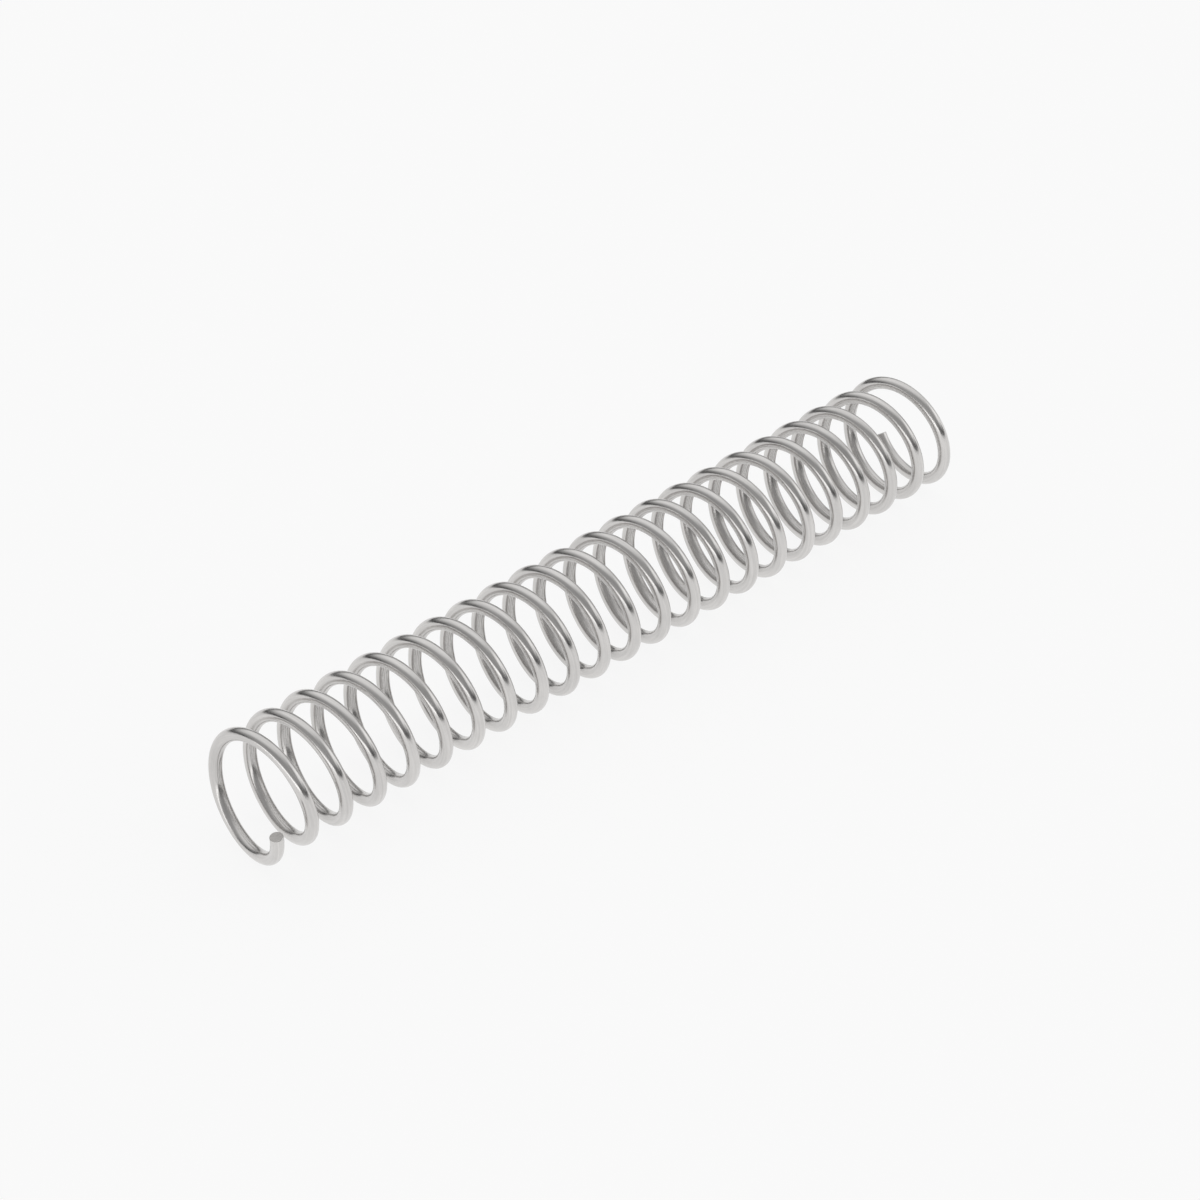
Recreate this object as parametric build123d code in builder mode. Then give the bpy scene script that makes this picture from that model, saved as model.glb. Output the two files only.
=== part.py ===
from build123d import *
from math import cos, radians, sin
import os

# A small compression spring, coiled from one length of round wire.
# The origin is on the spring's axis, midway between its two ends. The axis runs along X and Z is up.
# Lengths are in millimetres and angles in degrees.

# Driving dimensions
wire_diameter = 1.0
outer_diameter = 10.0
free_length = 70.0
total_turns = 22.39
start_angle = 181.0  # where round the axis the wire starts at the -X end, turning from +Y towards +Z

# The helix that the middle of the wire follows
mean_radius = (outer_diameter - wire_diameter) / 2
coil_rise = free_length - wire_diameter  # open ends: half the wire lies beyond each end of the helix
pitch = coil_rise / total_turns

# The helix starts in this plane: its normal is the spring's axis, its x direction meets the wire's start
start_plane = Plane(
    origin=(-coil_rise / 2, 0, 0),
    x_dir=(0, cos(radians(start_angle)), sin(radians(start_angle))),
    z_dir=(1, 0, 0),
)

# Spring: round wire swept along a right-hand helix of one pitch throughout, cut square at both ends
with BuildPart() as spring:
    with BuildLine(mode=Mode.PRIVATE) as helix:
        Helix(pitch, coil_rise, mean_radius)
    wire_path = (start_plane * helix.line).edge()
    with BuildSketch(Plane(origin=wire_path @ 0, z_dir=wire_path % 0)):
        Circle(wire_diameter / 2)
    sweep(path=wire_path, is_frenet=True)
spring.part.label = "spring"

os.makedirs("parts", exist_ok=True)
export_step(spring.part, "parts/spring.step")
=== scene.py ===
from math import cos, pi, radians, sin, tau

import bpy
import numpy as np
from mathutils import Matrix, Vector


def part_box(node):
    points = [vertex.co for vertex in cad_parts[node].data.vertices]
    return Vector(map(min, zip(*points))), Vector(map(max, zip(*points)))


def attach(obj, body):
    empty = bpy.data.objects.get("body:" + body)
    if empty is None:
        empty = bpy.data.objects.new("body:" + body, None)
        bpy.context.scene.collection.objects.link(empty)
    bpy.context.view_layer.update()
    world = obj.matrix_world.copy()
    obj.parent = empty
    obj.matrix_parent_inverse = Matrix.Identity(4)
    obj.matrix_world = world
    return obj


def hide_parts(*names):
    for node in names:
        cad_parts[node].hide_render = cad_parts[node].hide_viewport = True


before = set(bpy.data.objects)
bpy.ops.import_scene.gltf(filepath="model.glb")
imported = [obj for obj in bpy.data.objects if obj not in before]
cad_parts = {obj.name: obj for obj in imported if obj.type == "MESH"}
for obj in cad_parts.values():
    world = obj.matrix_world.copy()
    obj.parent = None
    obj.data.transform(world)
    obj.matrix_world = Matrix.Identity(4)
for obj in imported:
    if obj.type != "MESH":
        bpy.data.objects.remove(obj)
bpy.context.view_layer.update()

# A small compression spring on a white floor. Lengths are in metres and angles in degrees unless a
# comment says otherwise. The spring's axis runs along X through the origin, and Z is up.

scene = bpy.context.scene
low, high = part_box("spring")

# ------------------------------------------------------------------ the spring's dimensions
WIRE_RADIUS = 0.0005
TURNS = 22.39
START_ANGLE = 181.0  # where round the axis the wire starts at the -X end, from +Y towards +Z
MEAN_RADIUS = (high.y - low.y) / 2 - WIRE_RADIUS
RISE = (high.x - low.x) - 2 * WIRE_RADIUS

# ------------------------------------------------------------------ camera
CAMERA_AZIMUTH = -42.4
CAMERA_ELEVATION = 38.0
CAMERA_DISTANCE = 0.2495
FOCAL_LENGTH = 98.9  # in millimetres, as the sensor is
SENSOR_WIDTH = 36.0


def toward(azimuth, elevation):
    """The unit vector from the spring to a place. Azimuth 0 is towards -Y and 90 towards +X."""
    a, e = radians(azimuth), radians(elevation)
    return Vector((sin(a) * cos(e), -cos(a) * cos(e), sin(e)))


lens = bpy.data.cameras.new("camera")
lens.lens = FOCAL_LENGTH
lens.sensor_width = SENSOR_WIDTH
lens.clip_start = 0.01
lens.clip_end = 10.0
camera = bpy.data.objects.new("camera", lens)
back = toward(CAMERA_AZIMUTH, CAMERA_ELEVATION)
camera.location = back * CAMERA_DISTANCE
camera.rotation_mode = "QUATERNION"
camera.rotation_quaternion = (-back).to_track_quat("-Z", "Y")
scene.collection.objects.link(camera)
scene.camera = camera


# ------------------------------------------------------------------ nodes
class Tree:
    """Adds nodes to one node tree. An input is given a plain value or another node's output."""

    def __init__(self, owner):
        owner.use_nodes = True
        self.tree = owner.node_tree
        self.tree.nodes.clear()

    def node(self, kind, inputs=(), out=0, **settings):
        made = self.tree.nodes.new(kind)
        for name, value in settings.items():
            setattr(made, name, value)
        for name, value in dict(inputs).items():
            if isinstance(value, bpy.types.NodeSocket):
                self.tree.links.new(value, made.inputs[name])
            else:
                made.inputs[name].default_value = value
        return made.outputs[out] if made.outputs else made

    def math(self, operation, *values):
        return self.node("ShaderNodeMath", enumerate(values), operation=operation)

    def vector(self, operation, *values, out=0):
        return self.node("ShaderNodeVectorMath", enumerate(values), out, operation=operation)

    def scaled(self, vector, factor):
        sockets = {0: vector, "Scale": factor}
        return self.node("ShaderNodeVectorMath", sockets, operation="SCALE")

    def smooth(self, value, start, end, at_start=0.0, at_end=1.0):
        """at_start where value is at start, at_end where it is at end, and smooth between."""
        sockets = {
            "Value": value,
            "From Min": start,
            "From Max": end,
            "To Min": at_start,
            "To Max": at_end,
        }
        return self.node("ShaderNodeMapRange", sockets, interpolation_type="SMOOTHSTEP")

    def noise(self, place, stretch, detail, roughness):
        """Noise in a place that is first multiplied by stretch, one number an axis."""
        sockets = {
            "Vector": self.vector("MULTIPLY", place, stretch),
            "Scale": 1.0,
            "Detail": detail,
            "Roughness": roughness,
        }
        return self.node("ShaderNodeTexNoise", sockets)

    def blend(self, factor, a, b):
        sockets = {0: factor, 6: a, 7: b}
        return self.node("ShaderNodeMix", sockets, 2, data_type="RGBA")

    def mix(self, factor, a, b):
        return self.node("ShaderNodeMix", {0: factor, 2: a, 3: b})


# ------------------------------------------------------------------ the wire
SIDES = 32  # faces round the wire
STEPS_PER_TURN = 96
EDGE_BREAK = 0.00004  # the small round where a cut face meets the wire's side
EDGE_STEPS = 4
FACE_RINGS = (0.35, 0.7, 0.97)  # rings of a cut face, as shares of its radius
MAP_ROWS = 15  # rows of the bake map: the wire's side in all but the last, the ends in that
MAP_MARGIN = 0.04  # what is left free at each edge of a row, as a share of the row
START_DISC, END_DISC = 0.25, 0.75  # where along the last row the two ends lie


def coil_mesh():
    """The wire as one closed mesh: a tube of quads along the helix, rounded into a flat cut face
    at each end. Each vertex also keeps its place on the straightened wire, in millimetres."""
    steps = round(TURNS * STEPS_PER_TURN)
    lead = RISE / (tau * TURNS)
    length = tau * TURNS * np.hypot(MEAN_RADIUS, lead)

    # the rings of vertices, each by how far along the wire it is and its radius
    face = WIRE_RADIUS - EDGE_BREAK
    bends = np.linspace(0, pi / 2, EDGE_STEPS, endpoint=False)
    end = [(0.0, face * share) for share in FACE_RINGS]
    end += [(EDGE_BREAK * (1 - cos(bend)), face + EDGE_BREAK * sin(bend)) for bend in bends]
    side = [(s, WIRE_RADIUS) for s in np.linspace(EDGE_BREAK, length - EDGE_BREAK, steps + 1)]
    along, radius = np.array(end + side + [(length - s, r) for s, r in end[::-1]]).T
    count = len(along)

    # the middle of each ring and the directions across the wire there
    turn = radians(START_ANGLE) + tau * TURNS * along / length
    zero = np.zeros(count)
    outward = np.stack([zero, np.cos(turn), np.sin(turn)], 1)
    middle = outward * MEAN_RADIUS
    middle[:, 0] = (along / length - 0.5) * RISE
    forward = np.stack([zero + lead, -middle[:, 2], middle[:, 1]], 1)
    sideways = np.cross(forward / np.linalg.norm(forward, axis=1)[:, None], outward)
    around = tau * np.arange(SIDES) / SIDES
    across = radius[:, None] * np.cos(around), radius[:, None] * np.sin(around)
    verts = middle[:, None] + across[0][..., None] * outward[:, None]
    verts += across[1][..., None] * sideways[:, None]
    on_wire = np.stack([np.broadcast_to(along[:, None], across[0].shape), *across], 2)
    verts = np.vstack([verts.reshape(-1, 3), middle[0], middle[-1]])
    on_wire = np.vstack([on_wire.reshape(-1, 3), (0, 0, 0), (length, 0, 0)]) * 1000

    # quads between the rings, and a fan of triangles at each end
    ring, spoke = (grid.ravel() for grid in np.mgrid[0 : count - 1, 0:SIDES])
    ring = ring[:, None] + (0, 0, 1, 1)
    spoke = spoke[:, None] + (0, 1, 1, 0)
    quads = ring * SIDES + spoke % SIDES
    edge = np.arange(SIDES)[:, None] + (0, 1)
    first = np.insert(edge[:, ::-1] % SIDES, 0, count * SIDES, axis=1)
    last = np.insert((count - 1) * SIDES + edge % SIDES, 0, count * SIDES + 1, axis=1)
    mesh = bpy.data.meshes.new("coil")
    mesh.from_pydata(verts, [], quads.tolist() + first.tolist() + last.tolist())
    place = mesh.attributes.new("on_wire", "FLOAT_VECTOR", "POINT")
    place.data.foreach_set("vector", on_wire.astype(np.float32).ravel())

    # the bake map: the side cut into equal lengths, one above the other, and the ends as discs
    per_row = -(-steps // (MAP_ROWS - 1))
    row = (ring[:, :1] - len(end)) // per_row
    inside = MAP_MARGIN, 1 - MAP_MARGIN
    u = np.interp((ring - len(end) - row * per_row) / per_row, (0, 1), inside)
    v = (row + np.interp(spoke / SIDES, (0, 1), inside)) / MAP_ROWS
    side_map = np.stack([u, v], 2)

    def disc(rings_out, spoke, u):
        reach = (0.5 - MAP_MARGIN) / MAP_ROWS * rings_out / (len(end) + 1)
        angle = tau * spoke / SIDES
        v = (MAP_ROWS - 0.5) / MAP_ROWS
        return np.stack([u + reach * np.cos(angle), v + reach * np.sin(angle)], -1)

    at_start = ring[:, 0] < len(end)
    at_end = ring[:, 0] >= len(end) + steps
    side_map[at_start] = disc(ring[at_start] + 1, spoke[at_start], START_DISC)
    side_map[at_end] = disc(count - ring[at_end], spoke[at_end], END_DISC)
    fan_out = np.array((0, 1, 1))
    first_map = disc(fan_out, np.insert(edge[:, ::-1], 0, 0, axis=1), START_DISC)
    last_map = disc(fan_out, np.insert(edge, 0, 0, axis=1), END_DISC)
    bake = mesh.uv_layers.new(name="OFBake")
    parts = [part.reshape(-1, 2) for part in (side_map, first_map, last_map)]
    bake.data.foreach_set("uv", np.vstack(parts).astype(np.float32).ravel())
    mesh.update()
    mesh.shade_smooth()
    return mesh


coil = bpy.data.objects.new("coil", coil_mesh())
scene.collection.objects.link(coil)
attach(coil, "root")
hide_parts("spring")

# ------------------------------------------------------------------ spring steel
# Bright drawn wire: fine lines along it from the die, patches a little warmer or cooler, painted
# shade that darkens the coil's inside and painted light that brightens its outside, and sheared
# faces at its ends that are duller and scored.
LINES = (0.1, 7.0, 7.0)  # cells of noise a millimetre: along the wire, outward and sideways
PATCHES = (0.35, 1.4, 1.4)
SCORES = (0.0, 30.0, 2.5)
CUT_EDGE = (0.488, 0.462)  # millimetres from the wire's middle where the cut's finish fades in
SIDE_COLOURS = (0.602, 0.589, 0.578, 1), (0.662, 0.648, 0.635, 1)
CUT_COLOURS = (0.42, 0.41, 0.398, 1), (0.53, 0.516, 0.503, 1)
LINE_SHADES = (0.93, 1.05)
# painted light and shade: the wire's colour made darker on the coil's inside and lighter on its
# outside
INSIDE_OUTSIDE_PAINTED_SHADE = (0.965, 1.025)  # on the coil's inside and on its outside
SIDE_ROUGHNESS = (0.18, 0.26)
RUB_ROUGHNESS = (0.02, 0.0)  # added on the coil's inside and on its outside
CUT_ROUGHNESS = (0.42, 0.34)
LINE_RELIEF = 0.4  # how deep the lines are, as a share of the scores' depth

steel = bpy.data.materials.new("spring_steel")
s = Tree(steel)
on_wire = s.node("ShaderNodeAttribute", out="Vector", attribute_name="on_wire")
split = "ShaderNodeSeparateXYZ"
outward = s.node(split, {0: on_wire}, "Y")
in_section = s.vector("MULTIPLY", on_wire, (0, 1, 1))
from_middle = s.vector("LENGTH", in_section, out=1)
cut = s.smooth(from_middle, *CUT_EDGE)

lines = s.noise(on_wire, LINES, 4.0, 0.65)
patches = s.noise(on_wire, PATCHES, 3.0, 0.55)
scores = s.noise(in_section, SCORES, 2.0, 0.6)
scored = s.smooth(scores, 0.35, 0.65)

side = s.blend(s.smooth(patches, 0.3, 0.7), *SIDE_COLOURS)
side = s.scaled(side, s.smooth(lines, 0.3, 0.7, *LINE_SHADES))
# painted shade on the coil's inside and painted light on its outside
side = s.scaled(side, s.smooth(outward, -0.5, 0.5, *INSIDE_OUTSIDE_PAINTED_SHADE))
side_rough = s.math(
    "ADD",
    s.smooth(lines, 0.25, 0.75, *SIDE_ROUGHNESS),
    s.smooth(outward, -0.5, 0.5, *RUB_ROUGHNESS),
)
relief = s.mix(cut, s.math("MULTIPLY", lines, LINE_RELIEF), scores)
bump = s.node("ShaderNodeBump", {"Strength": 0.5, "Distance": 0.00001, "Height": relief})
shader = s.node(
    "ShaderNodeBsdfPrincipled",
    {
        "Base Color": s.blend(cut, side, s.blend(scored, *CUT_COLOURS)),
        "Metallic": 1.0,
        "Roughness": s.mix(cut, side_rough, s.smooth(scores, 0.35, 0.65, *CUT_ROUGHNESS)),
        "Normal": bump,
    },
)
s.node("ShaderNodeOutputMaterial", {"Surface": shader})
coil.data.materials.append(steel)

# ------------------------------------------------------------------ floor
FLOOR_REACH = 2.0
FLOOR_COLOUR = (0.95, 0.95, 0.95, 1)
WHITE = (1, 1, 1, 1)
SHOWN_WHITE = 0.86  # how far the floor looks white whatever the light on it: the rest keeps shadow
FAR_WHITE = 0.949  # the white that the floor shows far from the spring
floor_mesh = bpy.data.meshes.new("floor")
around = ((-1, -1), (1, -1), (1, 1), (-1, 1))
corners = [(x * FLOOR_REACH, y * FLOOR_REACH, low.z) for x, y in around]
floor_mesh.from_pydata(corners, [], [(0, 1, 2, 3)])
floor = bpy.data.objects.new("floor", floor_mesh)
scene.collection.objects.link(floor)
paint = bpy.data.materials.new("floor_paint")
p = Tree(paint)
rays = "ShaderNodeLightPath"
seen = p.node(rays, out="Is Camera Ray")
for other in ("Is Glossy Ray", "Is Transmission Ray"):
    seen = p.math("MAXIMUM", seen, p.node(rays, out=other))
share = p.math("MULTIPLY", seen, SHOWN_WHITE)
lit = p.node("ShaderNodeBsdfDiffuse", {"Color": FLOOR_COLOUR})
white = p.node("ShaderNodeEmission", {"Color": WHITE, "Strength": 1.0})
mixed = p.node("ShaderNodeMixShader", {0: share, 1: lit, 2: white})
p.node("ShaderNodeOutputMaterial", {"Surface": mixed})
floor_mesh.materials.append(paint)
paint.cycles.emission_sampling = "NONE"

# ------------------------------------------------------------------ studio light
SKY = 0.39  # the even light from everywhere
# soft boxes: azimuth and elevation, the angles from there where each is full and gone, strength
SOFT_BOXES = (
    (50, 14, 8, 40, 0.9),  # low on the right
    (140, 50, 10, 70, 0.6),  # larger, high up behind
)
# stretches along the horizon: azimuth, the angles from there where each is full and gone, the
# elevation where it ends, and how much lighter or darker it makes the sky, as a share of it
STRETCHES = (
    (10, 36, 54, 30, -0.98),  # dark in front
    (178, 50, 75, 28, -0.98),  # dark behind
    (-75, 40, 60, 14, 5.0),  # a long strip light on the left
)
STRETCH_START = 2  # the elevation up to which a stretch is full

world = bpy.data.worlds.new("studio")
scene.world = world
w = Tree(world)
ray = w.node("ShaderNodeTexCoord", out="Generated")
height = w.node(split, {0: ray}, "Z")
level = w.vector("NORMALIZE", w.vector("MULTIPLY", ray, (1, 1, 0)))


def patch(direction, azimuth, elevation, full, gone, strength):
    """A soft round patch, full within one angle of its middle and gone at the other."""
    near = w.vector("DOT_PRODUCT", direction, tuple(toward(azimuth, elevation)), out=1)
    return w.smooth(near, cos(radians(gone)), cos(radians(full)), 0.0, strength)


light = SKY
for box in SOFT_BOXES:
    light = w.math("ADD", light, patch(ray, *box))
for azimuth, full, gone, top, change in STRETCHES:
    low_down = w.smooth(height, sin(radians(STRETCH_START)), sin(radians(top)), 1.0, 0.0)
    stretch = w.math("MULTIPLY", low_down, patch(level, azimuth, 0, full, gone, change))
    light = w.math("MULTIPLY", light, w.math("ADD", stretch, 1.0))
# past the floor's edge the camera sees the floor's own white
light = w.mix(w.node(rays, out="Is Camera Ray"), light, FAR_WHITE)
sky = w.scaled((1.0, 1.0, 1.0), light)
w.node("ShaderNodeOutputWorld", {"Surface": w.node("ShaderNodeBackground", {"Color": sky})})

scene.view_settings.view_transform = "Standard"
